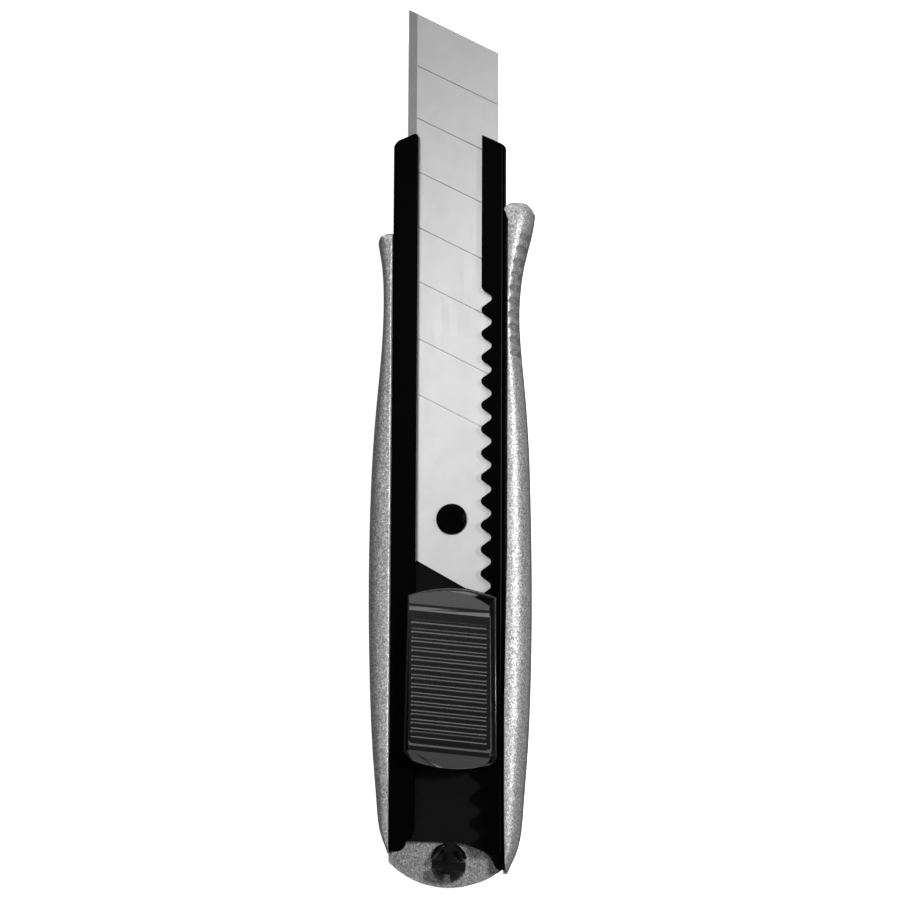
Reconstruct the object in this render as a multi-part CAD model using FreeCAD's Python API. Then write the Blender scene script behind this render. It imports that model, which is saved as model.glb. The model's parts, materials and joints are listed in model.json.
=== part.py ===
"""Snap-off utility knife with an 18 mm blade, lying on its back with the slider up.

Frame: +Y runs along the knife towards the blade tip, +X is the toothed side of the rail, and +Z is up, out of
the slider's face. The origin is on the flat back of the handle, below the middle of the body's length and the
rail's centre line. All sizes are in millimetres.
"""

import FreeCAD, Part
import math
import os

V = FreeCAD.Vector

# ---- driving dimensions -------------------------------------------------------------------------------------
BLADE_WIDTH = 18.0
BLADE_THICK = 0.5
BODY_HALF_LENGTH = 73.5

# Handle casting: a cored aluminium shell round a straight channel.
CHANNEL_LEFT = -11.1
CHANNEL_RIGHT = 11.4
CHANNEL_FLARE = 0.5
FLARE_REAR_Y = -38.0
FLARE_FRONT_Y = -8.0
FLARE_END_Y = 56.0
SEAT_Z = 7.7
RIM_Z = 12.6
WIDEST_Z = 6.2
FLANK_FULLNESS = 0.62
RIM_FULLNESS = 0.75
RIM_EASE_WIDTH = 0.4
RIM_EASE_DROP = 0.13
RIM_LEAN = 0.12
BACK_WALL = 2.3
# y, left half width, right half width, left crest, right crest, lift of the back off the table, drop of the rim
STATIONS = [
    (-70.8, 11.3, 11.3, 10.4, 10.1, 2.2, 2.3),
    (-69.0, 11.5, 12.1, 10.6, 10.9, 1.5, 1.7),
    (-67.0, 11.7, 13.0, 10.8, 11.6, 1.0, 1.2),
    (-64.0, 12.85, 13.8, 11.6, 11.6, 0.4, 0.7),
    (-58.0, 13.95, 14.4, 11.75, 11.6, -0.1, 0.25),
    (-48.0, 14.85, 15.15, 12.0, 11.7, -0.3, 0.0),
    (-34.0, 15.6, 15.75, 12.2, 11.8, -0.3, 0.0),
    (-18.0, 15.95, 15.95, 12.3, 11.9, -0.3, 0.0),
    (0.0, 15.8, 15.7, 12.3, 12.1, -0.3, 0.0),
    (12.0, 15.3, 15.3, 12.1, 12.2, -0.3, 0.0),
    (22.0, 14.5, 14.6, 11.9, 12.0, -0.3, 0.0),
    (30.0, 13.75, 13.85, 11.7, 11.8, -0.3, 0.0),
    (36.0, 13.4, 13.45, 11.6, 11.75, -0.2, 0.0),
    (42.0, 13.35, 13.6, 11.6, 11.95, 0.0, 0.0),
    (48.0, 13.8, 14.45, 11.75, 12.4, 0.4, 0.0),
    (52.0, 14.5, 15.45, 12.0, 12.8, 0.8, 0.05),
    (55.0, 14.8, 16.15, 12.1, 13.1, 1.2, 0.15),
    (57.5, 14.8, 16.5, 12.1, 13.1, 1.5, 0.5),
    (59.5, 14.8, 16.6, 12.1, 13.1, 1.8, 1.8),
    (60.8, 14.8, 16.6, 12.1, 13.1, 2.0, 3.4),
]
TAIL_LEFT_X = -11.6
TAIL_RIGHT_X = 10.66
LEFT_HORN_Y = 53.75
RIGHT_HORN_Y = 59.5
HORN_ROUND = 2.4
GRIP_RIDGES = 9
GRIP_PITCH = 2.55
GRIP_TOP_Y = 52.6
GRIP_DEPTH = 0.33
GRIP_GROOVE_R = 0.8
GRIP_LEAN_DEG = 10.5
CORE_HALF = 9.2
CORE_REAR_Y = -58.0
CORE_FRONT_Y = 49.0
CORE_RIB_YS = (-30.0, 0.0, 26.0)
CORE_RIB_THICK = 1.8

# Blade rail: a folded steel channel whose right lip carries the lock notches.
RAIL_HALF = 11.05
RAIL_SHEET = 1.0
LIP_Z = 11.6
RAIL_FRONT_Y = BODY_HALF_LENGTH + 0.2
RAIL_REAR_Y = -70.0
LEFT_LIP_X = -6.1
RIGHT_LIP_X = 6.6
NOTCH_PITCH = 4.69
NOTCHES = 23
NOTCH_DEPTH = 2.0
NOTCH_R = 0.85
TOOTH_R = 0.95
FIRST_NOTCH_Y = 40.5
LOCKED_NOTCH = 16
RAIL_FLOOR_Z = SEAT_Z + RAIL_SHEET
LIP_UNDER_Z = LIP_Z - RAIL_SHEET
RAIL_INNER_HALF = RAIL_HALF - RAIL_SHEET

# Carriage: steel carrier, stud and blade.
CARRIER_Z = RAIL_FLOOR_Z + 0.1
CARRIER_THICK = 0.8
BLADE_Z = CARRIER_Z + CARRIER_THICK + 0.05
BLADE_BACK_X = 9.58
BLADE_EDGE_X = BLADE_BACK_X - BLADE_WIDTH
BLADE_BEVEL = 1.8
BLADE_TIP_Y = 99.5
BREAK_SLOPE = math.tan(math.radians(28.0))
SCORE_SLOPE = math.tan(math.radians(27.5))
SCORES_FROM_TIP = (10.65, 21.25, 31.95, 43.15, 53.9, 65.3, 76.35)
SCORE_HALF = 0.11
SCORE_DEPTH = 0.16
STUD_X = 0.76
STUD_Y = -2.7
STUD_R = 3.0
STUD_NECK_R = 2.0
STUD_TOP_Z = 11.3
CARRIER_FRONT_Y = 2.4
CARRIER_REAR_Y = -41.0

# Thumb slider.
SLIDER_X = 1.2
SLIDER_FRONT_Y = -16.35
SLIDER_REAR_Y = -50.9
SLIDER_BASE_Z = 12.75
SLIDER_SKIRT_Z = 13.35
SLIDER_TOP_Z = 16.6
SLIDER_FIELD_Z = 16.05
SLIDER_ROOF_Z = 15.3
PRESS_TRAVEL = 1.0
RIBS = 13
RIB_PITCH = 1.81
RIB_CLOSING = 0.0065
RIB_FOOT = 1.19
RIB_CREST = 0.45
RIB_HEIGHT = 0.28
RIB_SKEW_DEG = 5.6
FIRST_RIB_Y = -23.33
FIELD_FRONT_Y = -21.45
FIELD_REAR_Y = -46.3
FIELD_SLOPE = 0.77
FRONT_RAMP_Y = -20.15
REAR_RAMP_Y = -48.0
RAMP_DEG = 20.0
PIN_R = 0.6
PIN_YS = (-22.0, -29.0)
PIN_Z = 12.9
CHEEK_XS = (-3.6, 3.6)
CHEEK_THICK = 1.2
LUG_XS = (-4.6, 5.0)
LUG_TOP_Z = 14.1
SPRING_LEFT_X = -2.2
SPRING_RIGHT_X = 3.4
SPRING_RIVET_Y = -19.2
SPRING_RIVET_R = 0.7
SPRING_THICK = 0.35
TAB_Y = FIRST_NOTCH_Y - LOCKED_NOTCH * NOTCH_PITCH
TAB_Z = LIP_UNDER_Z + 0.35

# Fasteners that hold the rail in the casting.
PLUG_X = 0.2
PLUG_SHANK_Y = -68.4
PLUG_SHANK_R = 2.0
PLUG_HEEL_R = 3.5
PLUG_HEEL_Z = SEAT_Z + 1.3
PLUG_HEAD_Y = -69.2
PLUG_HEAD_R = 3.3
PLUG_TOP_R = 2.4
PLUG_TOP_Z = 11.3
PLUG_SLOT = 1.8
PLUG_SLOT_Z = SEAT_Z + 0.45
PLUG_TURN_DEG = -6.0
PLUG_FOOT_R = 4.0
PLUG_FOOT_Z = 3.3
RIVET_Y = 44.0
RIVET_R = 1.6
RIVET_FOOT_R = 3.0
RIVET_FOOT_Z = 1.45
RIVET_SINK = 0.7


# ---- small helpers ------------------------------------------------------------------------------------------
def box(x0, x1, y0, y1, z0, z1):
    """A block between two corners."""
    return Part.makeBox(x1 - x0, y1 - y0, z1 - z0, V(x0, y0, z0))


def rod(x, y, z0, z1, radius):
    """A cylinder standing along Z."""
    return Part.makeCylinder(radius, z1 - z0, V(x, y, z0))


def cone(x, y, z0, z1, r0, r1):
    """A cone frustum standing along Z."""
    return Part.makeCone(r0, r1, z1 - z0, V(x, y, z0))


def prism(points, z0, z1):
    """A plan polygon of (x, y) corners, or of ready edges, raised from z0 to z1."""
    if isinstance(points, Part.Wire):
        wire = points
    else:
        corners = [V(x, y, 0) for x, y in points]
        wire = Part.makePolygon(corners + corners[:1])
    face = Part.Face(wire)
    face.translate(V(0, 0, z0))
    return face.extrude(V(0, 0, z1 - z0))


def line(a, b):
    """A straight plan edge between two (x, y) points."""
    return Part.LineSegment(V(*a, 0), V(*b, 0)).toShape()


def arc(a, m, b):
    """A plan arc from a through m to b."""
    return Part.Arc(V(*a, 0), V(*m, 0), V(*b, 0)).toShape()


def rounded_block(x0, x1, y0, y1, z0, z1, radius):
    """A block whose upright edges are rounded."""
    block = box(x0, x1, y0, y1, z0, z1)
    upright = [e for e in block.Edges if abs(e.tangentAt(e.FirstParameter).z) > 0.99]
    return block.makeFillet(radius, upright)


def edges_where(shape, test):
    """Edges whose middle point passes the test."""
    found = []
    for edge in shape.Edges:
        middle = edge.valueAt((edge.FirstParameter + edge.LastParameter) / 2)
        if test(middle, edge):
            found.append(edge)
    return found


def export(name, shape):
    """Writes one node as a STEP file of its solids."""
    if shape.ShapeType == "Compound" and len(shape.Solids) == 1:
        shape = shape.Solids[0]
    if not shape.isValid():
        print("not valid:", name)
    shape.exportStep("parts/" + name + ".step")
    print(name, "solids", len(shape.Solids), "volume", round(shape.Volume, 2))


# ---- handle casting -----------------------------------------------------------------------------------------
def quarter(start, corner, end, near_fullness, far_fullness):
    """A quarter-round Bezier edge in a section plane; a higher fullness makes a squarer shoulder."""
    near = start + (corner - start) * near_fullness
    far = end + (corner - end) * far_fullness
    curve = Part.BezierCurve()
    curve.setPoles([start, near, far, end])
    return curve.toShape()


def casting_section(y, left, right, crest_left, crest_right, lift, drop):
    """The outer section at y: a flat back, round flanks, a crowned right rim and a left one that leans out."""
    rim = RIM_Z - drop
    foot = 5.2
    back_l, back_r = V(-(left - foot), y, lift), V(right - foot, y, lift)
    wide_l, wide_r = V(-left, y, WIDEST_Z), V(right, y, WIDEST_Z)
    rim_l, rim_r = V(-crest_left, y, rim - RIM_LEAN), V(crest_right, y, rim)
    inner = V(max(CHANNEL_LEFT, 0.5 - crest_left), y, rim)
    flank, crown = FLANK_FULLNESS, RIM_FULLNESS
    edges = [
        Part.LineSegment(back_l, back_r).toShape(),
        quarter(back_r, V(right, y, lift), wide_r, flank, flank),
        quarter(wide_r, V(right, y, rim), rim_r, flank, crown),
        Part.LineSegment(rim_r, inner).toShape(),
        Part.LineSegment(inner, rim_l).toShape(),
        quarter(rim_l, V(-left, y, rim - RIM_LEAN), wide_l, flank, flank),
        quarter(wide_l, V(-left, y, lift), back_l, flank, flank),
    ]
    return Part.Wire(edges)


def casting_body():
    """The lofted outer shape, flattened on the back, with the round tail that closes the floor."""
    body = Part.makeLoft([casting_section(*s) for s in STATIONS], True)
    left, right = (TAIL_LEFT_X, -68.7), (TAIL_RIGHT_X, -69.65)
    end = arc(left, (1.2, -BODY_HALF_LENGTH), right)
    tail = [(TAIL_RIGHT_X, -60.0), (TAIL_LEFT_X, -60.0)]
    tongue = prism(Part.Wire([end, line(right, tail[0]), line(*tail), line(tail[1], left)]), 2.2, SEAT_Z)
    rim = edges_where(tongue, lambda m, e: abs(m.z - 2.2) < 0.01 and m.y < -69.7)
    tongue = tongue.makeFillet(1.6, rim)
    behind = [right, (TAIL_RIGHT_X, -80.0), (-20.0, -80.0), (-20.0, -67.1), (TAIL_LEFT_X, -67.1), left]
    sides = [line(a, b) for a, b in zip(behind, behind[1:])]
    body = body.cut(prism(Part.Wire([end] + sides), -5, 30)).fuse(tongue)
    return body.cut(box(-30, 30, -90, 90, -5, 0))


def horn_trims():
    """Everything in front of the two horns and of the hollow between them."""
    y = LEFT_HORN_Y
    left = Part.Wire(
        [
            line((-9.0, y + 0.25), (-11.2, y + 0.25)),
            arc((-11.2, y + 0.25), (-13.5, y - 0.7), (-14.9, y - 3.1)),
            line((-14.9, y - 3.1), (-20.0, y - 3.1)),
            line((-20.0, y - 3.1), (-20.0, 70.0)),
            line((-20.0, 70.0), (-9.0, 70.0)),
            line((-9.0, 70.0), (-9.0, y + 0.25)),
        ]
    )
    y = RIGHT_HORN_Y
    right = Part.Wire(
        [
            line((9.0, y - 1.3), (RAIL_HALF + 0.05, y - 1.3)),
            arc((RAIL_HALF + 0.05, y - 1.3), (11.6, y - 0.35), (12.9, y)),
            line((12.9, y), (14.4, y)),
            arc((14.4, y), (16.0, y - 0.8), (16.6, y - 2.9)),
            line((16.6, y - 2.9), (20.0, y - 2.9)),
            line((20.0, y - 2.9), (20.0, 70.0)),
            line((20.0, 70.0), (9.0, 70.0)),
            line((9.0, 70.0), (9.0, y - 1.3)),
        ]
    )
    hollow = Part.Wire(
        [
            arc((-9.0, LEFT_HORN_Y), (0.0, 50.5), (9.0, RIGHT_HORN_Y - 1.3)),
            line((9.0, RIGHT_HORN_Y - 1.3), (9.0, 70.0)),
            line((9.0, 70.0), (-9.0, 70.0)),
            line((-9.0, 70.0), (-9.0, LEFT_HORN_Y)),
        ]
    )
    trims = [prism(w, -2, 20) for w in (left, right, hollow)]
    return trims + [left_horn_top()]


def left_horn_top():
    """The part cut off the left horn so that its front end is round from its top to its tip."""
    r, y = HORN_ROUND, LEFT_HORN_Y + 0.2
    start, end = V(-20, y - r, RIM_Z), V(-20, y, RIM_Z - r)
    slant = r * math.sqrt(0.5)
    curve = Part.Arc(start, V(-20, y - r + slant, RIM_Z - r + slant), end).toShape()
    outside = Part.makePolygon([end, V(-20, y + 9, RIM_Z - r), V(-20, y + 9, 20), V(-20, y - r, 20), start])
    return Part.Face(Part.Wire([curve] + outside.Edges)).extrude(V(11, 0, 0))


def grip_grooves():
    """Round grooves between the finger ridges on the right horn, leaning inwards with its flank."""
    grooves = []
    for i in range(GRIP_RIDGES + 1):
        y = GRIP_TOP_Y - i * GRIP_PITCH
        groove = rod(GRIP_GROOVE_R - GRIP_DEPTH, 0, -5.0, 9.0, GRIP_GROOVE_R)
        groove.rotate(V(0, 0, 0), V(0, 1, 0), -GRIP_LEAN_DEG)
        groove.translate(V(flank_x(y), y, WIDEST_Z))
        grooves.append(groove)
    return grooves


def flank_x(y):
    """The right half width of the casting at y, read between the two nearest stations."""
    below = max((s for s in STATIONS if s[0] <= y), key=lambda s: s[0])
    above = min((s for s in STATIONS if s[0] >= y), key=lambda s: s[0])
    if above[0] == below[0]:
        return below[2]
    share = (y - below[0]) / (above[0] - below[0])
    return below[2] + share * (above[2] - below[2])


def casting_core():
    """The cored pocket under the rail, less its cross ribs and the rivet boss."""
    core = rounded_block(-CORE_HALF, CORE_HALF, CORE_REAR_Y, CORE_FRONT_Y, BACK_WALL, SEAT_Z + 0.01, 3.0)
    for y in CORE_RIB_YS:
        core = core.cut(box(-12, 12, y - CORE_RIB_THICK / 2, y + CORE_RIB_THICK / 2, 0, 12))
    return core.cut(box(-12, 12, RIVET_Y - 4.0, RIVET_Y + 4.0, 0, 12))


def channel():
    """The straight slot for the rail; its right wall stands a little clear of the rail towards the front."""
    plan = [
        (CHANNEL_LEFT, -90),
        (CHANNEL_RIGHT, -90),
        (CHANNEL_RIGHT, FLARE_REAR_Y),
        (CHANNEL_RIGHT + CHANNEL_FLARE, FLARE_FRONT_Y),
        (CHANNEL_RIGHT + CHANNEL_FLARE, FLARE_END_Y),
        (RAIL_HALF + 0.05, FLARE_END_Y + 2.0),
        (RAIL_HALF + 0.05, 90),
        (CHANNEL_LEFT, 90),
    ]
    return prism(plan, SEAT_Z, 30)


def handle_casting():
    """The silver die-cast handle."""
    body = casting_body().cut(channel())
    for trim in horn_trims():
        body = body.cut(trim)
    body = body.cut(box(-30, 0, -90, -67.0, SEAT_Z, 30))
    body = body.cut(casting_core())
    body = body.cut(rod(PLUG_X, PLUG_SHANK_Y, -1, 20, PLUG_SHANK_R + 0.05))
    body = body.cut(rod(PLUG_X, PLUG_SHANK_Y, -1, PLUG_FOOT_Z + 0.05, PLUG_FOOT_R + 0.1))
    body = body.cut(rod(0, RIVET_Y, -1, 20, RIVET_R + 0.05))
    body = body.cut(rod(0, RIVET_Y, -1, RIVET_FOOT_Z + 0.05, RIVET_FOOT_R + 0.1))
    for groove in grip_grooves():
        body = body.cut(groove)
    return body.cut(rim_easing())


def rim_easing():
    """The sliver removed along the left rim, which eases its inner edge."""
    x, z = CHANNEL_LEFT, RIM_Z
    start, end = V(x - RIM_EASE_WIDTH, -90, z), V(x, -90, z - RIM_EASE_DROP)
    middle = V(x - RIM_EASE_WIDTH / 2, -90, z - RIM_EASE_DROP / 4)
    curve = Part.Arc(start, middle, end).toShape()
    above = z + 1
    corners = [end, V(x + 0.1, -90, end.z), V(x + 0.1, -90, above), V(start.x, -90, above), start]
    return Part.Face(Part.Wire([curve] + Part.makePolygon(corners).Edges)).extrude(V(0, 180, 0))


# ---- blade rail ---------------------------------------------------------------------------------------------
def wave_cutter():
    """The space left of the toothed line, as one upright prism."""
    half = NOTCH_PITCH / 2
    root_x = RIGHT_LIP_X + NOTCH_DEPTH
    root_c, tip_c = root_x - NOTCH_R, RIGHT_LIP_X + TOOTH_R
    # Each flank is the inner common tangent of a notch circle and a tooth circle half a pitch away.
    across = root_c - tip_c
    turn = math.acos((NOTCH_R + TOOTH_R) / math.hypot(across, half))
    bearing = math.atan2(half, across)
    nx, ny = math.cos(bearing - turn), math.sin(bearing - turn)
    start_y, edges = FIRST_NOTCH_Y + half, []
    for k in range(NOTCHES):
        y = FIRST_NOTCH_Y - k * NOTCH_PITCH
        upper_tip = (tip_c - TOOTH_R * nx, y + half - TOOTH_R * ny)
        upper_root = (root_c + NOTCH_R * nx, y + NOTCH_R * ny)
        lower_root = (root_c + NOTCH_R * nx, y - NOTCH_R * ny)
        lower_tip = (tip_c - TOOTH_R * nx, y - half + TOOTH_R * ny)
        edges.append(rest_of_tip(tip_c, y + half, (RIGHT_LIP_X, y + half), upper_tip))
        edges.append(line(upper_tip, upper_root))
        edges.append(arc(upper_root, (root_x, y), lower_root))
        edges.append(line(lower_root, lower_tip))
        edges.append(rest_of_tip(tip_c, y - half, lower_tip, (RIGHT_LIP_X, y - half)))
    end_y = start_y - NOTCHES * NOTCH_PITCH
    edges.append(line((RIGHT_LIP_X, end_y), (0, end_y)))
    edges.append(line((0, end_y), (0, start_y)))
    edges.append(line((0, start_y), (RIGHT_LIP_X, start_y)))
    return prism(Part.Wire(edges), LIP_UNDER_Z - 0.5, LIP_Z + 1)


def rest_of_tip(x, y, a, b):
    """The part of a tooth's round, centred on (x, y), between points a and b."""
    bearings = [math.atan2(point[1] - y, point[0] - x) % (2 * math.pi) for point in (a, b)]
    middle = sum(bearings) / 2
    return arc(a, (x + TOOTH_R * math.cos(middle), y + TOOTH_R * math.sin(middle)), b)


def blade_rail():
    """The black channel that guides the blade."""
    y0, y1 = RAIL_REAR_Y, RAIL_FRONT_Y
    outer = box(-RAIL_HALF, RAIL_HALF, y0, y1, SEAT_Z, LIP_Z)
    folds = [e for e in outer.Edges if abs(e.tangentAt(e.FirstParameter).y) > 0.99]
    outer = outer.makeFillet(0.8, folds)
    inner = box(-RAIL_INNER_HALF, RAIL_INNER_HALF, y0 - 1, y1 + 1, RAIL_FLOOR_Z, LIP_UNDER_Z)
    rail = outer.cut(inner)
    rail = rail.cut(box(LEFT_LIP_X, RIGHT_LIP_X, y0 - 1, y1 + 1, LIP_UNDER_Z - 0.01, LIP_Z + 1))
    rail = rail.cut(wave_cutter())
    rail = rail.cut(rail_front_trim())
    for trim in rail_rear_trims():
        rail = rail.cut(trim)
    rail = rail.cut(rod(0, RIVET_Y, 0, 20, RIVET_R + 0.05))
    sink = cone(0, RIVET_Y, RAIL_FLOOR_Z - RIVET_SINK, RAIL_FLOOR_Z + 0.01, RIVET_R, RIVET_R + 0.9)
    rail = rail.cut(sink)
    return rail


def rail_front_trim():
    """Bows the rail's mouth back towards its two sides."""
    nose = Part.Wire(
        [
            arc((-11.5, 70.0), (-10.8, 71.6), (-9.9, 72.5)),
            line((-9.9, 72.5), (-7.0, RAIL_FRONT_Y - 0.05)),
            arc((-7.0, RAIL_FRONT_Y - 0.05), (-6.35, RAIL_FRONT_Y - 0.05), (LEFT_LIP_X, 73.1)),
            line((LEFT_LIP_X, 73.1), (-4.0, 73.2)),
            line((-4.0, 73.2), (RIGHT_LIP_X, 73.1)),
            line((RIGHT_LIP_X, 73.1), (10.6, 71.2)),
            line((10.6, 71.2), (11.5, 70.6)),
            line((11.5, 70.6), (11.5, 80.0)),
            line((11.5, 80.0), (-11.5, 80.0)),
            line((-11.5, 80.0), (-11.5, 70.0)),
        ]
    )
    return prism(nose, 0, 20)


def rail_rear_trims():
    """Shapes the rail's rear end: round lip ends, a straight floor edge and a tongue on the right."""
    lips = Part.Wire(
        [
            line((LEFT_LIP_X, -62.3), (-6.75, -64.3)),
            line((-6.75, -64.3), (-7.7, -64.7)),
            arc((-7.7, -64.7), (-8.2, -66.0), (-9.5, -66.6)),
            line((-9.5, -66.6), (-12.0, -66.6)),
            line((-12.0, -66.6), (-12.0, -75.0)),
            line((-12.0, -75.0), (12.0, -75.0)),
            line((12.0, -75.0), (12.0, -66.6)),
            line((12.0, -66.6), (8.3, -66.6)),
            arc((8.3, -66.6), (7.4, -66.35), (6.95, -65.8)),
            line((6.95, -65.8), (RIGHT_LIP_X, -64.9)),
            line((RIGHT_LIP_X, -64.9), (0.0, -62.3)),
            line((0.0, -62.3), (LEFT_LIP_X, -62.3)),
        ]
    )
    floor = Part.Wire(
        [
            line((-10.05, -64.75), (1.6, -64.75)),
            arc((1.6, -64.75), (4.6, -65.6), (7.1, -66.65)),
            arc((7.1, -66.65), (8.45, -67.85), (9.1, -69.2)),
            arc((9.1, -69.2), (9.9, -69.9), (11.1, -70.0)),
            line((11.1, -70.0), (11.1, -75.0)),
            line((11.1, -75.0), (-12.0, -75.0)),
            line((-12.0, -75.0), (-12.0, -66.6)),
            line((-12.0, -66.6), (-10.05, -66.6)),
            line((-10.05, -66.6), (-10.05, -64.75)),
        ]
    )
    return [prism(lips, LIP_UNDER_Z - 0.01, 20), prism(floor, 0, LIP_UNDER_Z)]


# ---- carriage -----------------------------------------------------------------------------------------------
def blade():
    """The snap-off blade: ground edge on the left, seven scored break lines and a clipped tail."""
    drop = BREAK_SLOPE * BLADE_WIDTH
    outline = [
        (BLADE_EDGE_X, BLADE_TIP_Y),
        (BLADE_BACK_X, BLADE_TIP_Y - drop),
        (BLADE_BACK_X, -17.6),
        (7.4, -17.1),
        (3.4, -16.05),
        (BLADE_EDGE_X, -9.35),
    ]
    top = BLADE_Z + BLADE_THICK
    steel = prism(outline, BLADE_Z, top)
    for up in (1, -1):
        face = top if up > 0 else BLADE_Z
        middle = BLADE_Z + BLADE_THICK / 2
        wedge = Part.makePolygon(
            [
                V(BLADE_EDGE_X - 0.5, -40, middle),
                V(BLADE_EDGE_X, -40, middle + up * 0.02),
                V(BLADE_EDGE_X + BLADE_BEVEL, -40, face),
                V(BLADE_EDGE_X + BLADE_BEVEL, -40, face + up),
                V(BLADE_EDGE_X - 0.5, -40, face + up),
                V(BLADE_EDGE_X - 0.5, -40, middle),
            ]
        )
        steel = steel.cut(Part.Face(wedge).extrude(V(0, 160, 0)))
    for distance in SCORES_FROM_TIP:
        steel = steel.cut(score(BLADE_TIP_Y - distance, top))
    return steel.cut(rod(STUD_X, STUD_Y, 0, 20, STUD_R + 0.05))


def score(edge_y, top):
    """One V-shaped score line, which starts at the bevel and stops short of the back."""
    x0, x1 = BLADE_EDGE_X + BLADE_BEVEL, BLADE_BACK_X - 0.15
    y0, y1 = (edge_y - SCORE_SLOPE * (x - BLADE_EDGE_X) for x in (x0, x1))
    start = V(x0, y0, top)
    along = V(x1 - x0, y1 - y0, 0)
    side = V(-along.y, along.x, 0).normalize() * SCORE_HALF
    lift = V(0, 0, 0.05)
    root = start - V(0, 0, SCORE_DEPTH)
    groove = Part.makePolygon([start + side + lift, start - side + lift, root, start + side + lift])
    return Part.Face(groove).extrude(along)


def blade_carrier():
    """The steel slide under the blade, with folded guide edges, two lugs for the slider and a forked tail."""
    z0, z1 = CARRIER_Z, CARRIER_Z + CARRIER_THICK
    half = RAIL_INNER_HALF - 0.15
    plate = rounded_block(-half, half, CARRIER_REAR_Y, CARRIER_FRONT_Y, z0, z1, 2.5)
    for x in (-half, half - 0.8):
        plate = plate.fuse(box(x, x + 0.8, CARRIER_REAR_Y + 2.5, -20.0, z0, LIP_UNDER_Z - 0.15))
    for x in LUG_XS:
        lug = rounded_lug(x, -31.6, -19.6, z0)
        for y in PIN_YS:
            lug = lug.cut(pin_slot(x, y))
        plate = plate.fuse(lug)
    fork_half, fork_y = PLUG_HEEL_R + 0.7, CARRIER_REAR_Y + 4.8
    fork = rod(PLUG_X, fork_y - fork_half, 0, 20, fork_half)
    fork = fork.fuse(box(PLUG_X - fork_half, PLUG_X + fork_half, -60, fork_y - fork_half, 0, 20))
    plate = plate.cut(fork)
    plate = plate.cut(rod(STUD_X, STUD_Y, 0, 20, STUD_NECK_R))
    plate = plate.cut(rod(STUD_X, SPRING_RIVET_Y, 0, 20, SPRING_RIVET_R + 0.05))
    return plate.removeSplitter()


def rounded_lug(x, y0, y1, z0):
    """An upright sheet lug with round top corners."""
    lug = box(x, x + CARRIER_THICK, y0, y1, z0, LUG_TOP_Z)
    corners = edges_where(lug, lambda m, e: abs(e.tangentAt(e.FirstParameter).x) > 0.99 and m.z > z0 + 1)
    return lug.makeFillet(0.8, corners)


def pin_slot(x, y):
    """The upright slot in which a cross pin rises and falls as the slider is pressed."""
    reach, radius = PRESS_TRAVEL + 0.1, PIN_R + 0.06
    low = Part.makeCylinder(radius, 3, V(x - 1, y, PIN_Z - reach), V(1, 0, 0))
    high = Part.makeCylinder(radius, 3, V(x - 1, y, PIN_Z), V(1, 0, 0))
    return low.fuse(high).fuse(box(x - 1, x + 2, y - radius, y + radius, PIN_Z - reach, PIN_Z))


def blade_stud():
    """The round stud that fills the blade's hole, with a soft rim and a hollow centre."""
    stud = rod(STUD_X, STUD_Y, BLADE_Z - 0.05, STUD_TOP_Z, STUD_R)
    rim = edges_where(stud, lambda m, e: abs(m.z - STUD_TOP_Z) < 0.01)
    stud = stud.makeFillet(0.7, rim)
    stud = stud.fuse(rod(STUD_X, STUD_Y, CARRIER_Z, BLADE_Z, STUD_NECK_R))
    return stud.cut(rod(STUD_X, STUD_Y, STUD_TOP_Z - 0.5, STUD_TOP_Z + 1, 1.35)).removeSplitter()


def lock_spring():
    """The leaf spring that lifts the slider and holds its round side tab in a notch of the rail."""
    foot_z = CARRIER_Z + CARRIER_THICK + 0.02
    path = [(-17.8, foot_z), (-21.5, foot_z), (TAB_Y + 1.6, TAB_Z), (TAB_Y - 1.3, TAB_Z)]
    upper = [V(0, y, z + SPRING_THICK) for y, z in reversed(path)]
    leaf = Part.Face(Part.makePolygon([V(0, y, z) for y, z in path] + upper + [V(0, *path[0])]))
    leaf = leaf.extrude(V(SPRING_RIGHT_X - SPRING_LEFT_X, 0, 0))
    leaf.translate(V(SPRING_LEFT_X, 0, 0))
    nose_r = 0.8
    nose_x = RIGHT_LIP_X + NOTCH_DEPTH - 0.25 - nose_r
    tab = box(SPRING_RIGHT_X - 0.4, nose_x, TAB_Y - nose_r, TAB_Y + nose_r, TAB_Z, TAB_Z + SPRING_THICK)
    tab = tab.fuse(rod(nose_x, TAB_Y, TAB_Z, TAB_Z + SPRING_THICK, nose_r))
    leaf = leaf.fuse(tab).cut(rod(STUD_X, SPRING_RIVET_Y, 0, 20, SPRING_RIVET_R + 0.05))
    return leaf.removeSplitter()


def spring_rivet():
    """The rivet that fixes the leaf spring to the carrier."""
    z0, z1 = CARRIER_Z, CARRIER_Z + CARRIER_THICK + 0.02 + SPRING_THICK
    shank = rod(STUD_X, SPRING_RIVET_Y, z0, z1, SPRING_RIVET_R)
    return shank.fuse(cone(STUD_X, SPRING_RIVET_Y, z1, z1 + 0.45, 2 * SPRING_RIVET_R, 0.9))


# ---- thumb slider -------------------------------------------------------------------------------------------
def slider_skirt(inset=0.0):
    """The plan of the slider's foot, drawn in by inset on every side."""
    front_left, front_right = (-7.35 + inset, -17.65 - inset), (9.9 - inset, -18.1 - inset)
    side_right, rear_right = (10.1 - inset, -48.4 + inset), (8.3 - inset, -50.2 + inset)
    rear_left, side_left = (-6.6 + inset, -49.15 + inset), (-7.95 + inset, -47.7 + inset)
    return Part.Wire(
        [
            arc(front_left, (-0.2, SLIDER_FRONT_Y - inset), front_right),
            line(front_right, side_right),
            arc(side_right, (9.6 - inset, -49.6 + inset), rear_right),
            arc(rear_right, (1.2, SLIDER_REAR_Y + inset), rear_left),
            line(rear_left, side_left),
            line(side_left, front_left),
        ]
    )


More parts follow.
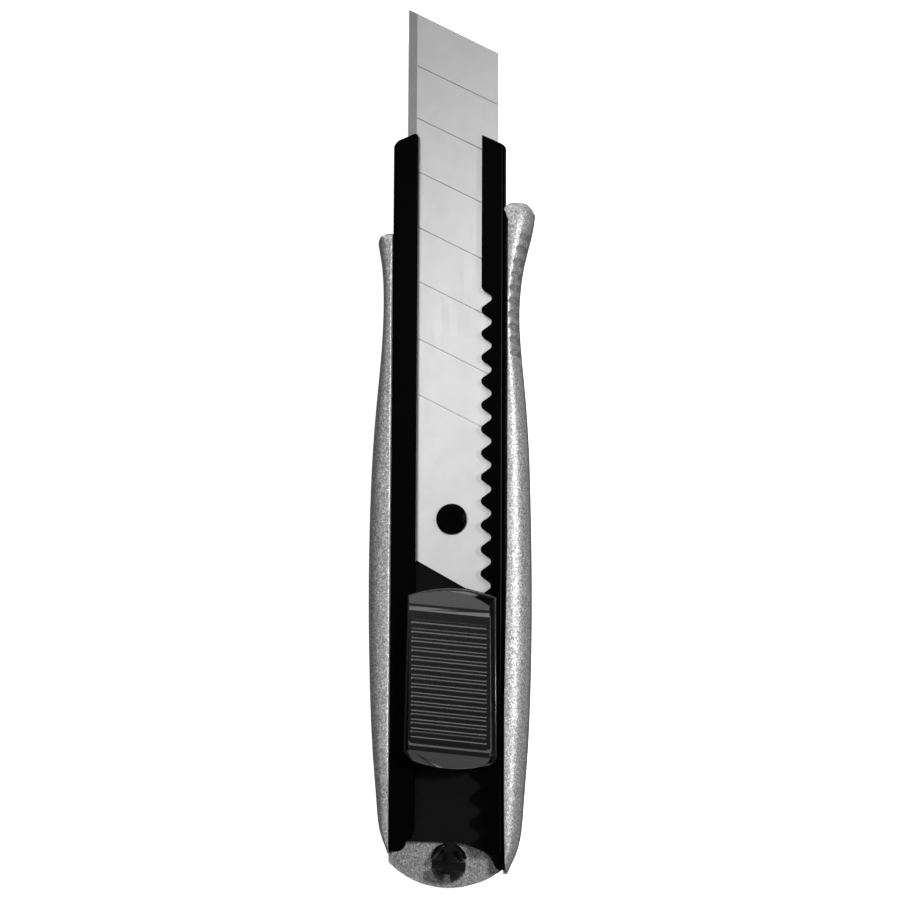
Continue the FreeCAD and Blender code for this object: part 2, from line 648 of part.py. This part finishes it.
def slider_top():
    """The plan of the slider at the height of its end ridges."""
    front_left, front_right = (-6.5, -18.0), (8.9, -20.3)
    side_right, rear_right = (9.1, -48.3), (7.9, -50.1)
    rear_left, side_left = (-5.6, -49.3), (-6.35, -48.0)
    return Part.Wire(
        [
            arc(front_left, (0.1, -17.25), front_right),
            line(front_right, side_right),
            arc(side_right, (8.8, -49.5), rear_right),
            arc(rear_right, (1.2, SLIDER_REAR_Y), rear_left),
            line(rear_left, side_left),
            line(side_left, front_left),
        ]
    )


def thumb_slider():
    """The ribbed thumb piece, hollow below, with side cheeks for the cross pins and a rib on the spring."""
    skirt = prism(slider_skirt(), SLIDER_BASE_Z, SLIDER_SKIRT_Z)
    shoulder = edges_where(skirt, lambda m, e: abs(m.z - SLIDER_SKIRT_Z) < 0.01)
    skirt = skirt.makeFillet(0.3, shoulder)
    low, high = slider_skirt(0.35), slider_top()
    low.translate(V(0, 0, SLIDER_SKIRT_Z - 0.1))
    high.translate(V(0, 0, SLIDER_TOP_Z))
    block = Part.makeLoft([low, high], True, True)
    body = skirt.fuse(block).removeSplitter()
    body = body.cut(end_ramp(FRONT_RAMP_Y, 1)).cut(end_ramp(REAR_RAMP_Y, -1))
    body = body.cut(rib_field())
    for i in range(RIBS):
        body = body.fuse(rib(rib_y(i), RIB_CREST / 2).common(block))
    body = body.fuse(rib(rib_y(RIBS), rib_y(RIBS) - FIELD_REAR_Y + 0.4).common(block))
    body = body.cut(box(-5.3, 6.5, -46.0, -19.4, SLIDER_BASE_Z - 1, SLIDER_ROOF_Z))
    for x in CHEEK_XS:
        body = body.fuse(box(x, x + CHEEK_THICK, -30.5, -20.5, 11.4, SLIDER_ROOF_Z + 0.1))
    pusher_z = TAB_Z + SPRING_THICK + 0.03
    pusher = box(SPRING_LEFT_X, SPRING_RIGHT_X, TAB_Y - 0.7, TAB_Y + 0.7, pusher_z, SLIDER_ROOF_Z + 0.1)
    body = body.fuse(pusher)
    for y in PIN_YS:
        body = body.cut(Part.makeCylinder(PIN_R, 11.8, V(-5.3, y, PIN_Z), V(1, 0, 0)))
    return body.removeSplitter()


def rib_y(i):
    """Where rib i stands; the ribs close up a little towards the rear."""
    return FIRST_RIB_Y - i * RIB_PITCH + i * i * RIB_CLOSING


def canted(shape, y):
    """A cross-wise shape drawn round the origin, turned to the ribs' cant and moved to y."""
    shape.rotate(V(0, 0, 0), V(0, 0, 1), -RIB_SKEW_DEG)
    shape.translate(V(SLIDER_X, y, 0))
    return shape


def end_ramp(ridge_y, end):
    """The sloping facet at the front (1) or rear (-1) end, whose top line runs along the end ridge."""
    block = box(-20, 20, 0, 8, 0, 10)
    block.rotate(V(0, 0, 0), V(1, 0, 0), -RAMP_DEG)
    if end < 0:
        block.rotate(V(0, 0, 0), V(0, 0, 1), 180)
    block.translate(V(0, 0, SLIDER_TOP_Z - 0.1))
    return canted(block, ridge_y)


def cross_bar(profile, half_length):
    """A bar across the slider with a (y, z) profile."""
    corners = [V(-half_length, y, z) for y, z in profile]
    return Part.Face(Part.makePolygon(corners + corners[:1])).extrude(V(2 * half_length, 0, 0))


def rib_field():
    """The shallow recess between the end ridges, with a sloping wall at each end."""
    depth = SLIDER_TOP_Z - SLIDER_FIELD_Z
    half = (FIELD_FRONT_Y - FIELD_REAR_Y) / 2
    grow = FIELD_SLOPE / depth
    profile = [
        (-half, SLIDER_FIELD_Z),
        (half, SLIDER_FIELD_Z),
        (half + FIELD_SLOPE + grow, SLIDER_TOP_Z + 1),
        (-half - FIELD_SLOPE - grow, SLIDER_TOP_Z + 1),
    ]
    return canted(cross_bar(profile, 14), (FIELD_FRONT_Y + FIELD_REAR_Y) / 2)


def rib(y, crest_rear):
    """One raised rib with sloping flanks, whose crest reaches crest_rear behind its middle."""
    flank = (RIB_FOOT - RIB_CREST) / 2
    profile = [
        (-crest_rear - flank, SLIDER_FIELD_Z - 0.05),
        (RIB_FOOT / 2, SLIDER_FIELD_Z - 0.05),
        (RIB_CREST / 2, SLIDER_FIELD_Z + RIB_HEIGHT),
        (-crest_rear, SLIDER_FIELD_Z + RIB_HEIGHT),
    ]
    return canted(cross_bar(profile, 7.3), y)


def cross_pins():
    """The two pins that join the slider to the carrier's lugs."""
    pins = [Part.makeCylinder(PIN_R, 10.9, V(-4.85, y, PIN_Z), V(1, 0, 0)) for y in PIN_YS]
    return Part.makeCompound(pins)


# ---- fasteners ----------------------------------------------------------------------------------------------
def rail_lock_plug():
    """The cross-slotted plug whose heel stops the rail from sliding back; its foot is headed over below."""
    seat = SEAT_Z + 0.05
    heel = rod(PLUG_X, PLUG_SHANK_Y, seat, PLUG_HEEL_Z - 0.6, PLUG_HEEL_R)
    heel = heel.fuse(cone(PLUG_X, PLUG_SHANK_Y, PLUG_HEEL_Z - 0.6, PLUG_HEEL_Z, PLUG_HEEL_R, PLUG_HEEL_R - 0.6))
    heel = heel.cut(box(-10, 10, -80, PLUG_HEAD_Y + 1.2, 0, 20))
    head = rod(PLUG_X, PLUG_HEAD_Y, seat, seat + 1.4, PLUG_HEAD_R)
    head = head.fuse(cone(PLUG_X, PLUG_HEAD_Y, seat + 1.4, PLUG_TOP_Z, PLUG_HEAD_R, PLUG_TOP_R))
    plug = head.fuse(heel)
    for turn in (PLUG_TURN_DEG, PLUG_TURN_DEG + 90):
        plug = plug.cut(plug_slot(-6, turn, PLUG_SLOT_Z))
    plug = plug.cut(plug_slot(PLUG_SLOT, PLUG_TURN_DEG - 90, SEAT_Z))
    shank = rod(PLUG_X, PLUG_SHANK_Y, PLUG_FOOT_Z - 0.1, PLUG_SLOT_Z - 0.1, PLUG_SHANK_R)
    foot = rod(PLUG_X, PLUG_SHANK_Y, PLUG_FOOT_Z - 1.0, PLUG_FOOT_Z, PLUG_FOOT_R)
    return plug.fuse(shank).fuse(foot).removeSplitter()


def plug_slot(start, turn, floor_z):
    """An arm of the plug's slot, from start outwards along the turned X axis, cut down to floor_z."""
    slot = box(start, 6, -PLUG_SLOT / 2, PLUG_SLOT / 2, floor_z, 20)
    slot.rotate(V(0, 0, 0), V(0, 0, 1), turn)
    slot.translate(V(PLUG_X, PLUG_HEAD_Y, 0))
    return slot


def rail_rivet():
    """The countersunk rivet that pins the rail's floor to the casting in front."""
    top = RAIL_FLOOR_Z - 0.05
    rivet = rod(0, RIVET_Y, 0.5, top, RIVET_R)
    rivet = rivet.fuse(rod(0, RIVET_Y, 0.4, RIVET_FOOT_Z, RIVET_FOOT_R))
    head = cone(0, RIVET_Y, RAIL_FLOOR_Z - RIVET_SINK, top, RIVET_R, RIVET_R + 0.8)
    return rivet.fuse(head).removeSplitter()


def main():
    os.makedirs("parts", exist_ok=True)
    export("handle_casting", handle_casting())
    export("blade_rail", blade_rail())
    export("rail_lock_plug", rail_lock_plug())
    export("rail_rivet", rail_rivet())
    export("blade", blade())
    export("blade_carrier", blade_carrier())
    export("blade_stud", blade_stud())
    export("lock_spring", lock_spring())
    export("spring_rivet", spring_rivet())
    export("thumb_slider", thumb_slider())
    export("cross_pins", cross_pins())


main()
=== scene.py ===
import bpy
import json
import math
from mathutils import Matrix, Vector

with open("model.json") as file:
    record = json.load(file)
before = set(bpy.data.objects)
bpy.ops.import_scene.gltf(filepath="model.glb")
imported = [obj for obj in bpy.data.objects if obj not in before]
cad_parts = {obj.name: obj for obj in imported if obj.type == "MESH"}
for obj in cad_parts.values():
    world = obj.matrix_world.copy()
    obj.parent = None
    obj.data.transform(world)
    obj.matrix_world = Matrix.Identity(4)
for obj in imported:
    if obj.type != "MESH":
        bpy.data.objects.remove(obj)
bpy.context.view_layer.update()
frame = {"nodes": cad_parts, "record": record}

MM = 0.001

# Camera: almost straight down on the knife, from slightly right of and behind the middle.
AIM_MM = Vector((0.18, 11.0, 9.0))
CAMERA_DISTANCE_MM = 520.0
CAMERA_RIGHT_DEG = 8.0
CAMERA_REAR_DEG = 7.0
CAMERA_ROLL_DEG = 0.29
LENS_MM = 106.5
SENSOR_MM = 36.0

# The floor lies a hair below the handle's flat back, so that the two faces don't coincide.
FLOOR_GLOW = 0.75
FLOOR_HALF_SIZE_M = 3.0
FLOOR_Z_M = -0.0002

LIGHT_AIM_M = Vector((0.0, 0.01, 0.0))
# Name, place in metres, width and height in metres, power in watts.
LIGHTS = [
    ("key_light", (0.39, 0.09, 0.47), (0.09, 0.09), 4.2),
    ("panel_rear_light", (-0.105, 0.155, 0.75), (0.30, 0.08), 0.225),
    ("panel_front_light", (-0.105, 0.315, 0.75), (0.30, 0.24), 0.115),
    ("front_light", (-0.10, 0.58, 0.58), (0.40, 0.20), 0.55),
    ("rear_light", (-0.105, -0.476, 0.68), (0.40, 0.20), 0.55),
    ("low_front_light", (-0.11, 0.85, 0.16), (0.70, 0.30), 2.9),
    ("low_rear_light", (-0.11, -0.85, 0.27), (0.70, 0.36), 2.9),
]
WORLD_STRENGTH = 0.12

# Where the gradients in the materials start and end, in metres along the object's axes.
# Between the blade's tip and tail the blade steel's colour is a painted reflection: darker at the tip,
# brighter at the tail.
BLADE_TIP_Y_M = 0.0995
BLADE_TAIL_Y_M = -0.015
# Between these two heights the silver paint goes from painted shade, low down, to its full colour.
SILVER_SHADE_LOW_Z_M = 0.0077
SILVER_SHADE_TOP_Z_M = 0.0084
# Between these two heights the black coat goes from painted light, low down, to painted shade on the raised
# lips.
COAT_LIGHT_Z_M = 0.0098
COAT_SHADE_Z_M = 0.0101
# The part of a noise pattern's range over which a material value changes.
NOISE_LOW = 0.3
NOISE_HIGH = 0.7

WELD_GAP_M = 0.000002
SHARP_EDGE_DEG = 30.0
EDGE_BREAK_SEGMENTS = 2
# Width in metres of the small round along the sharp edges of a piece.
EDGE_BREAKS = {
    "thumb_slider": 0.00003,
    "rail_lock_plug": 0.00008,
    "blade_stud": 0.00006,
    "blade_carrier": 0.00006,
    "handle_casting": 0.00012,
}


# ---- node materials ---------------------------------------------------------------------------------------
class Shader:
    """A material's node tree with short helpers for adding and joining nodes."""

    def __init__(self, name):
        self.material = bpy.data.materials.new(name)
        self.material.use_nodes = True
        self.tree = self.material.node_tree
        self.bsdf = self.tree.nodes["Principled BSDF"]
        self.coords = self.tree.nodes.new("ShaderNodeTexCoord")

    def add(self, kind, **inputs):
        node = self.tree.nodes.new(kind)
        for key, value in inputs.items():
            node.inputs[key.replace("_", " ")].default_value = value
        return node

    def join(self, source, output, target, socket):
        self.tree.links.new(source.outputs[output], target.inputs[socket])

    def place(self, scale=(1.0, 1.0, 1.0)):
        """Object coordinates, stretched by scale."""
        mapping = self.add("ShaderNodeMapping")
        mapping.inputs["Scale"].default_value = scale
        self.join(self.coords, "Object", mapping, "Vector")
        return mapping

    def noise(self, scale, detail=4.0, stretch=(1.0, 1.0, 1.0)):
        node = self.add("ShaderNodeTexNoise", Scale=scale, Detail=detail)
        self.join(self.place(stretch), "Vector", node, "Vector")
        return node

    def cells(self, scale):
        node = self.add("ShaderNodeTexVoronoi", Scale=scale)
        self.join(self.place(), "Vector", node, "Vector")
        return node

    def ramp(self, source, output, stops):
        """A colour ramp; stops are (position, grey or (r, g, b))."""
        node = self.tree.nodes.new("ShaderNodeValToRGB")
        band = node.color_ramp
        while len(band.elements) < len(stops):
            band.elements.new(0.5)
        for element, (position, shade) in zip(band.elements, stops):
            rgb = shade if isinstance(shade, tuple) else (shade, shade, shade)
            element.position = position
            element.color = (*rgb, 1.0)
        self.join(source, output, node, "Fac")
        return node

    def spread(self, noise, low, high):
        """Turns a noise pattern into values from low to high."""
        return self.ramp(noise, "Fac", [(NOISE_LOW, low), (NOISE_HIGH, high)])

    def along(self, axis, start, end, at_start, at_end):
        """A value that runs from at_start to at_end between two object coordinates in metres."""
        split = self.tree.nodes.new("ShaderNodeSeparateXYZ")
        self.join(self.coords, "Object", split, "Vector")
        span = self.tree.nodes.new("ShaderNodeMapRange")
        span.inputs["From Min"].default_value = start
        span.inputs["From Max"].default_value = end
        span.inputs["To Min"].default_value = at_start
        span.inputs["To Max"].default_value = at_end
        self.join(split, axis, span, "Value")
        return span

    def product(self, a, a_output, b, b_output):
        """The two outputs multiplied, channel by channel."""
        node = self.tree.nodes.new("ShaderNodeVectorMath")
        node.operation = "MULTIPLY"
        self.tree.links.new(a.outputs[a_output], node.inputs[0])
        self.tree.links.new(b.outputs[b_output], node.inputs[1])
        return node

    def bump(self, source, output, strength, distance):
        node = self.add("ShaderNodeBump", Strength=strength, Distance=distance)
        self.join(source, output, node, "Height")
        return node

    def set(self, **values):
        """Sets the shader's own sockets; an underscore stands for the space in a socket's name."""
        for key, value in values.items():
            self.bsdf.inputs[key.replace("_", " ")].default_value = value


def silver_paint():
    """Metallic silver paint over a die casting: fine flakes, a few of them bright; painted darker low down
    as painted shade.
    """
    s = Shader("silver_paint")
    flakes = s.cells(4700.0)
    shade = s.ramp(flakes, "Color", [(0.0, 0.14), (0.45, 0.33), (0.85, 0.58), (1.0, 1.0)])
    # Painted shade: the paint is 0.62 times as bright at and below the seat of the rail, and full above it.
    painted_shade = s.along("Z", SILVER_SHADE_LOW_Z_M, SILVER_SHADE_TOP_Z_M, 0.62, 1.0)
    s.join(s.product(painted_shade, "Result", shade, "Color"), "Vector", s.bsdf, "Base Color")
    wear = s.noise(900.0, 3.0)
    rough = s.spread(wear, 0.50, 0.58)
    s.join(rough, "Color", s.bsdf, "Roughness")
    s.join(s.bump(flakes, "Color", 0.45, 0.00006), "Normal", s.bsdf, "Normal")
    s.set(Metallic=0.62, Specular_Tint=(0.4, 0.4, 0.4, 1.0))
    return s.material


def black_coat():
    """Matt black coating on folded sheet steel, painted a little paler low down as painted light and
    near-black on the raised lips as painted shade.
    """
    s = Shader("black_coat")
    grain = s.noise(2600.0, 3.0)
    # Painted light and shade: a paler colour on the low rail floor, near-black on the raised lips.
    painted_light_mask = s.along("Z", COAT_SHADE_Z_M, COAT_LIGHT_Z_M, 0.0, 1.0)
    coat_with_painted_light = s.add("ShaderNodeMix")
    coat_with_painted_light.data_type = "RGBA"
    s.join(painted_light_mask, "Result", coat_with_painted_light, "Factor")
    coat_with_painted_light.inputs["A"].default_value = (0.0004, 0.0004, 0.0004, 1.0)
    painted_light_tone = s.spread(grain, 0.0046, 0.0060)
    s.join(painted_light_tone, "Color", coat_with_painted_light, "B")
    s.join(coat_with_painted_light, "Result", s.bsdf, "Base Color")
    rough = s.spread(grain, 0.28, 0.34)
    s.join(rough, "Color", s.bsdf, "Roughness")
    s.join(s.bump(grain, "Fac", 0.10, 0.00001), "Normal", s.bsdf, "Normal")
    s.set(Metallic=0.0, Specular_IOR_Level=0.02)
    return s.material


def black_plastic():
    """Moulded black plastic with a fine spark-eroded texture."""
    s = Shader("black_plastic")
    grain = s.noise(4200.0, 4.0)
    shade = s.spread(grain, 0.0008, 0.0020)
    s.join(shade, "Color", s.bsdf, "Base Color")
    rough = s.spread(grain, 0.17, 0.23)
    s.join(rough, "Color", s.bsdf, "Roughness")
    s.join(s.bump(grain, "Fac", 0.12, 0.00001), "Normal", s.bsdf, "Normal")
    s.set(Specular_IOR_Level=0.58)
    return s.material


def blade_steel():
    """Ground carbon steel with faint clouds and very fine lengthwise scratches; its colour is painted darker
    towards the tip as a painted reflection.
    """
    s = Shader("blade_steel")
    clouds = s.noise(260.0, 5.0)
    lines = s.noise(3000.0, 4.0, (1.0, 0.05, 1.0))
    shade = s.spread(clouds, 0.94, 1.0)
    # Painted reflection: the steel's colour runs from 0.52 at the tip to 0.97 at the tail.
    painted_reflection_fade = s.along("Y", BLADE_TIP_Y_M, BLADE_TAIL_Y_M, 0.52, 0.97)
    s.join(s.product(painted_reflection_fade, "Result", shade, "Color"), "Vector", s.bsdf, "Base Color")
    rough = s.spread(lines, 0.31, 0.35)
    s.join(rough, "Color", s.bsdf, "Roughness")
    s.join(s.bump(lines, "Fac", 0.03, 0.000003), "Normal", s.bsdf, "Normal")
    s.set(Metallic=1.0)
    return s.material


def plain_steel():
    """Bright steel of the pins, rivets and spring."""
    s = Shader("plain_steel")
    grain = s.noise(1800.0, 4.0)
    shade = s.spread(grain, 0.50, 0.62)
    s.join(shade, "Color", s.bsdf, "Base Color")
    rough = s.spread(grain, 0.30, 0.42)
    s.join(rough, "Color", s.bsdf, "Roughness")
    s.join(s.bump(grain, "Fac", 0.10, 0.00001), "Normal", s.bsdf, "Normal")
    s.set(Metallic=1.0)
    return s.material


def floor_paint():
    """The pale floor: white acrylic, softly lit from below."""
    s = Shader("floor_paint")
    grain = s.noise(40.0, 3.0)
    shade = s.spread(grain, 0.90, 0.92)
    s.join(shade, "Color", s.bsdf, "Base Color")
    s.set(Roughness=0.9, Emission_Color=(1.0, 1.0, 1.0, 1.0), Emission_Strength=FLOOR_GLOW)
    return s.material


# ---- dressing the CAD pieces ------------------------------------------------------------------------------
def dress_nodes():
    """Gives every CAD node the material of its slot."""
    makers = {
        "silver_paint": silver_paint(),
        "black_coat": black_coat(),
        "black_plastic": black_plastic(),
        "blade_steel": blade_steel(),
        "spring_steel": plain_steel(),
        "plain_steel": plain_steel(),
    }
    slots = {s["node"]: s["material_slot"] for s in frame["record"]["subparts"]}
    for name, obj in frame["nodes"].items():
        obj.data.materials.clear()
        obj.data.materials.append(makers[slots[name]])
        if name in EDGE_BREAKS:
            break_edges(obj, EDGE_BREAKS[name])


def break_edges(obj, width):
    """Joins the faces that share an edge and puts a small round along the sharp ones."""
    weld = obj.modifiers.new("weld", "WELD")
    weld.merge_threshold = WELD_GAP_M
    bevel = obj.modifiers.new("edge_break", "BEVEL")
    bevel.width = width
    bevel.segments = EDGE_BREAK_SEGMENTS
    bevel.limit_method = "ANGLE"
    bevel.angle_limit = math.radians(SHARP_EDGE_DEG)
    bevel.harden_normals = True


# ---- studio -----------------------------------------------------------------------------------------------
def add_floor():
    """A pale floor just below the handle's back; it glows, but casts no light on the knife."""
    mesh = bpy.data.meshes.new("floor")
    half, z = FLOOR_HALF_SIZE_M, FLOOR_Z_M
    corners = [(-half, -half, z), (half, -half, z), (half, half, z), (-half, half, z)]
    mesh.from_pydata(corners, [], [(0, 1, 2, 3)])
    mesh.materials.append(floor_paint())
    floor = bpy.data.objects.new("floor", mesh)
    bpy.context.scene.collection.objects.link(floor)
    floor.visible_diffuse = False
    floor.visible_glossy = False


def add_area_light(name, place, size, power):
    """A soft rectangular light aimed at the middle of the knife."""
    data = bpy.data.lights.new(name, "AREA")
    data.shape = "RECTANGLE"
    data.size, data.size_y = size
    data.energy = power
    light = bpy.data.objects.new(name, data)
    light.location = place
    light.rotation_mode = "QUATERNION"
    light.rotation_quaternion = (LIGHT_AIM_M - Vector(place)).to_track_quat("-Z", "Y")
    bpy.context.scene.collection.objects.link(light)


def add_studio():
    """Faint even surroundings and the lights of the table above."""
    world = bpy.data.worlds.new("studio")
    world.use_nodes = True
    background = world.node_tree.nodes["Background"]
    background.inputs["Color"].default_value = (1.0, 1.0, 1.0, 1.0)
    background.inputs["Strength"].default_value = WORLD_STRENGTH
    bpy.context.scene.world = world
    for name, place, size, power in LIGHTS:
        add_area_light(name, place, size, power)


def add_camera():
    """A long lens that looks down on the knife, as in the photo."""
    right, rear = math.radians(CAMERA_RIGHT_DEG), math.radians(CAMERA_REAR_DEG)
    back = Vector((math.sin(right) * math.cos(rear), -math.sin(rear), math.cos(right) * math.cos(rear)))
    side = Vector((0, 1, 0)).cross(back).normalized()
    up = back.cross(side)
    turn = Matrix((side, up, back)).transposed() @ Matrix.Rotation(math.radians(CAMERA_ROLL_DEG), 3, "Z")
    data = bpy.data.cameras.new("camera")
    data.lens = LENS_MM
    data.sensor_width = SENSOR_MM
    camera = bpy.data.objects.new("camera", data)
    camera.matrix_world = Matrix.Translation((AIM_MM + back * CAMERA_DISTANCE_MM) * MM) @ turn.to_4x4()
    bpy.context.scene.collection.objects.link(camera)
    bpy.context.scene.camera = camera


def main():
    """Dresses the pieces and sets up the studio."""
    dress_nodes()
    add_floor()
    add_studio()
    add_camera()
    bpy.context.scene.view_settings.view_transform = "Standard"


main()
